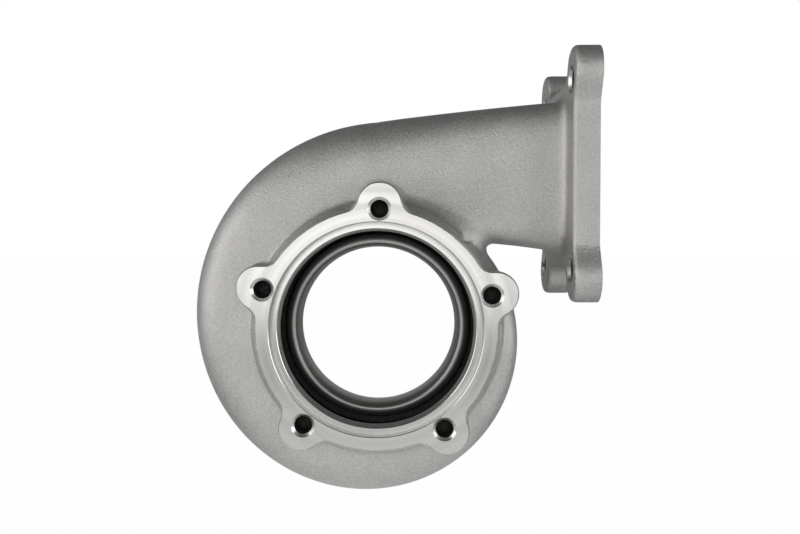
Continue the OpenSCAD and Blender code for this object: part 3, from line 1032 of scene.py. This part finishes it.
def threads(name, places, turn, sizes, tree, sockets):
    """Plain mesh of the threads at the given places."""
    mesh = bpy.data.meshes.new(name)
    mesh.from_pydata([tuple(float(c) * MM for c in p) for p in places], [], [])
    obj = bpy.data.objects.new(name, mesh)
    bpy.context.scene.collection.objects.link(obj)
    step = obj.modifiers.new("threads", "NODES")
    step.node_group = tree
    for key, value in sizes.items():
        step[sockets[key]] = value * MM
    step[sockets["Turn"]] = turn
    bpy.context.view_layer.update()
    made = bpy.data.meshes.new_from_object(obj.evaluated_get(bpy.context.evaluated_depsgraph_get()))
    obj.modifiers.remove(step)
    obj.data = made
    bpy.data.meshes.remove(mesh)
    shape = bmesh.new()
    shape.from_mesh(made)
    bmesh.ops.recalc_face_normals(shape, faces=shape.faces)
    shape.to_mesh(made)
    shape.free()
    return obj


def light(name, place, target, size, radiance):
    """Soft box that looks at a target. Place, target and size are in metres."""
    data = bpy.data.lights.new(name, "AREA")
    data.shape = "RECTANGLE"
    data.size, data.size_y = size
    data.energy = radiance * math.pi * size[0] * size[1]
    obj = bpy.data.objects.new(name, data)
    obj.location = place
    obj.rotation_euler = (Vector(target) - Vector(place)).to_track_quat("-Z", "Y").to_euler()
    bpy.context.scene.collection.objects.link(obj)


def studio():
    """Floor, surround and soft boxes. The camera sees the floor and the surround as white."""
    mesh = bpy.data.meshes.new("floor")
    level = cad_low.z - FLOOR_GAP
    signs = ((-1, -1), (1, -1), (1, 1), (-1, 1))
    corners = [(FLOOR_HALF * x, FLOOR_HALF * y, level) for x, y in signs]
    mesh.from_pydata(corners, [], [(0, 1, 2, 3)])
    floor = bpy.data.objects.new("floor", mesh)
    bpy.context.scene.collection.objects.link(floor)
    material, tree = new_material("pale_floor")
    ray = add_node(tree, "ShaderNodeLightPath")
    matt = add_node(tree, "ShaderNodeBsdfDiffuse", {
        "Color": hex_colour("#F4F4F2"),
    }).outputs["BSDF"]
    white = add_node(tree, "ShaderNodeEmission", {
        "Color": (1.0, 1.0, 1.0, 1.0), "Strength": 1.0,
    }).outputs["Emission"]
    seen = add_node(tree, "ShaderNodeMath", {
        0: ray.outputs["Is Camera Ray"], 1: FLOOR_WHITE,
    }, operation="MULTIPLY").outputs[0]
    clear = add_node(tree, "ShaderNodeMath", {
        0: ray.outputs["Is Glossy Ray"], 1: ray.outputs["Is Transmission Ray"],
    }, operation="ADD").outputs[0]
    # In reflections the floor glows as painted light, brightest in front of the object and fading
    # away from there
    place = add_node(tree, "ShaderNodeTexCoord").outputs["Object"]
    shifted = add_node(tree, "ShaderNodeVectorMath", {
        0: place, 1: (0.0, GLOW_AHEAD, 0.0),
    }, operation="ADD").outputs["Vector"]
    parts = add_node(tree, "ShaderNodeSeparateXYZ", {"Vector": shifted})
    flat = add_node(tree, "ShaderNodeCombineXYZ", {
        "X": parts.outputs["X"], "Y": parts.outputs["Y"],
    })
    away = add_node(tree, "ShaderNodeVectorMath", {
        0: flat.outputs[0],
    }, operation="LENGTH").outputs["Value"]
    near = add_node(tree, "ShaderNodeMapRange", {
        "Value": away, "From Min": GLOW_RADII[0], "From Max": GLOW_RADII[1],
        "To Min": GLOW_SHARES[0], "To Max": GLOW_SHARES[1],
    }, interpolation_type="SMOOTHSTEP").outputs["Result"]
    share = add_node(tree, "ShaderNodeMath", {
        0: clear, 1: near, 2: seen,
    }, operation="MULTIPLY_ADD").outputs[0]
    mixed = add_node(tree, "ShaderNodeMixShader", {0: share, 1: matt, 2: white}).outputs["Shader"]
    add_node(tree, "ShaderNodeOutputMaterial", {"Surface": mixed})
    mesh.materials.append(material)

    world = bpy.data.worlds.new("studio")
    world.use_nodes = True
    tree = world.node_tree
    tree.nodes.clear()
    ray = add_node(tree, "ShaderNodeLightPath")
    # The surround is dark above and pale at both sides. It is white for the camera, and straight
    # behind the object for reflections too.
    toward = add_node(tree, "ShaderNodeTexCoord").outputs["Generated"]
    parts = add_node(tree, "ShaderNodeSeparateXYZ", {"Vector": toward})
    sideways = add_node(tree, "ShaderNodeMath", {
        0: parts.outputs["X"],
    }, operation="ABSOLUTE").outputs[0]
    sides = add_node(tree, "ShaderNodeMapRange", {
        "Value": sideways, "From Min": SIDE_SPAN[0], "From Max": SIDE_SPAN[1],
        "To Min": SURROUND_GREY, "To Max": SIDE_GREY,
    }, interpolation_type="SMOOTHSTEP").outputs["Result"]
    behind = add_node(tree, "ShaderNodeMapRange", {
        "Value": parts.outputs["Y"], "From Min": BEHIND_SPAN[0], "From Max": BEHIND_SPAN[1],
        "To Min": 0.0, "To Max": 1.0,
    }).outputs["Result"]
    around = add_node(tree, "ShaderNodeBackground", {
        "Color": (1.0, 1.0, 1.0, 1.0), "Strength": sides,
    }).outputs["Background"]
    white = add_node(tree, "ShaderNodeBackground", {
        "Color": (1.0, 1.0, 1.0, 1.0), "Strength": 1.0,
    }).outputs["Background"]
    clear = add_node(tree, "ShaderNodeMath", {
        0: ray.outputs["Is Glossy Ray"], 1: ray.outputs["Is Transmission Ray"],
    }, operation="ADD").outputs[0]
    share = add_node(tree, "ShaderNodeMath", {
        0: clear, 1: behind, 2: ray.outputs["Is Camera Ray"],
    }, operation="MULTIPLY_ADD").outputs[0]
    mixed = add_node(tree, "ShaderNodeMixShader", {
        0: share, 1: around, 2: white,
    }).outputs["Shader"]
    add_node(tree, "ShaderNodeOutputWorld", {"Surface": mixed})
    bpy.context.scene.world = world

    for name, place, target, size, radiance in SOFT_BOXES:
        light(name, place, target, size, radiance)


def camera():
    """Camera at the photograph's place and angle, with the field of view of a photo 800 pixels
    wide.
    """
    data = bpy.data.cameras.new("camera")
    data.sensor_fit = "HORIZONTAL"
    data.sensor_width = SENSOR_WIDTH
    data.lens = SENSOR_WIDTH * CAMERA_FOCUS / PHOTO_WIDTH
    data.clip_start = 0.01
    obj = bpy.data.objects.new("camera", data)
    obj.location = CAMERA_PLACE * MM
    obj.rotation_euler = (math.radians(90 + CAMERA_PITCH), 0, math.radians(-CAMERA_YAW))
    bpy.context.scene.collection.objects.link(obj)
    bpy.context.scene.camera = obj


# Camera: place in mm, tilt and turn in degrees, and focal length in pixels of the photo
CAMERA_PLACE = Vector((11.99, -364.5, 38.75))
CAMERA_PITCH = -1.731
CAMERA_YAW = -0.241
CAMERA_FOCUS = 832.35
PHOTO_WIDTH = 800
SENSOR_WIDTH = 36.0

# Floor, in metres: half its width, and its distance below the object
FLOOR_HALF = 6.0
FLOOR_GAP = 0.0005
# How white the floor is for the camera
FLOOR_WHITE = 0.985
# Where the floor glows in reflections as painted light: how far in front of the wheel axis, in
# metres, the radii between which it fades, and its brightness inside and outside them
GLOW_AHEAD = 0.12
GLOW_RADII = (0.12, 0.21)
GLOW_SHARES = (0.7, 0.06)

# Brightness of the surround above the object and at its sides
SURROUND_GREY = 0.11
SIDE_GREY = 0.32
# Between which parts of a direction the surround turns pale sideways, and white straight behind
SIDE_SPAN = (0.35, 0.85)
BEHIND_SPAN = (0.92, 0.99)

# Soft boxes: place, target and size in metres, and radiance
SOFT_BOXES = [
    ("left", (-0.8, -0.3, 0.18), (0.0, 0.03, 0.02), (0.6, 0.9), 2.0),
    ("right", (0.8, -0.3, -0.02), (0.0, 0.03, 0.02), (0.6, 0.9), 2.5),
    ("front", (-0.1, -1.0, 0.14), (0.0, 0.0, 0.1), (1.2, 0.6), 1.6),
    ("front_left", (-0.22, -0.7, 0.19), (-0.19, 0.0, 0.17), (0.42, 0.38), 0.25),
]


def main():
    scene = bpy.context.scene
    scene.view_settings.view_transform = "Standard"
    finish = {
        "cast": shot_blasted_cast_stainless(),
        "turned": turned_stainless(),
        "milled": milled_stainless(),
        "drilled": drilled_stainless(),
        "bored": bored_stainless(),
        "passage": painted_shade_cast_stainless(),
    }
    # The holes' depths take the same painted shade as the passage
    finish["hole"] = finish["passage"]
    points, faces = surface_net(casting_distance, GRID_LOW, GRID_HIGH, VOXEL)
    casting = mesh_object("turbine_housing_casting", points, faces)
    casting.data.materials.append(finish["cast"])
    # Faces on the skin of the gas passage take the painted shade
    casting.data.materials.append(finish["passage"])
    middles = np.array(points)[faces].mean(1).T
    casting.data.polygons.foreach_set("material_index", passage_faces(middles).astype(np.int32))
    machine(casting, finish)
    smooth_by_angle(casting.data)
    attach(casting, "root")
    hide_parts("turbine_housing")

    tree, sockets = thread_tree(tapped_stainless())
    lead = TAP_CHAMFER_R - THREAD_MINOR_R
    bolt_threads = threads(
        "centre_housing_threads",
        [(x, lead, z) for x, y, z in bolt_places()],
        (math.radians(-90), 0.0, 0.0),
        {
            "Major radius": THREAD_MAJOR_R, "Minor radius": THREAD_MINOR_R,
            "Pitch": THREAD_PITCH, "Length": TAP_DEPTH - lead - THREAD_MARGIN,
        },
        tree, sockets,
    )
    lead = INLET_CHAMFER_R - INLET_THREAD_MINOR_R
    inlet_threads = threads(
        "inlet_flange_threads",
        [(INLET[0] - FLANGE_T + lead, y, z) for x, y, z in inlet_bolt_places()],
        (0.0, math.radians(90), 0.0),
        {
            "Major radius": INLET_THREAD_MAJOR_R, "Minor radius": INLET_THREAD_MINOR_R,
            "Pitch": INLET_THREAD_PITCH, "Length": FLANGE_T - 2 * lead,
        },
        tree, sockets,
    )
    for piece in (bolt_threads, inlet_threads):
        smooth_by_angle(piece.data)
        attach(piece, "root")
    studio()
    camera()


main()
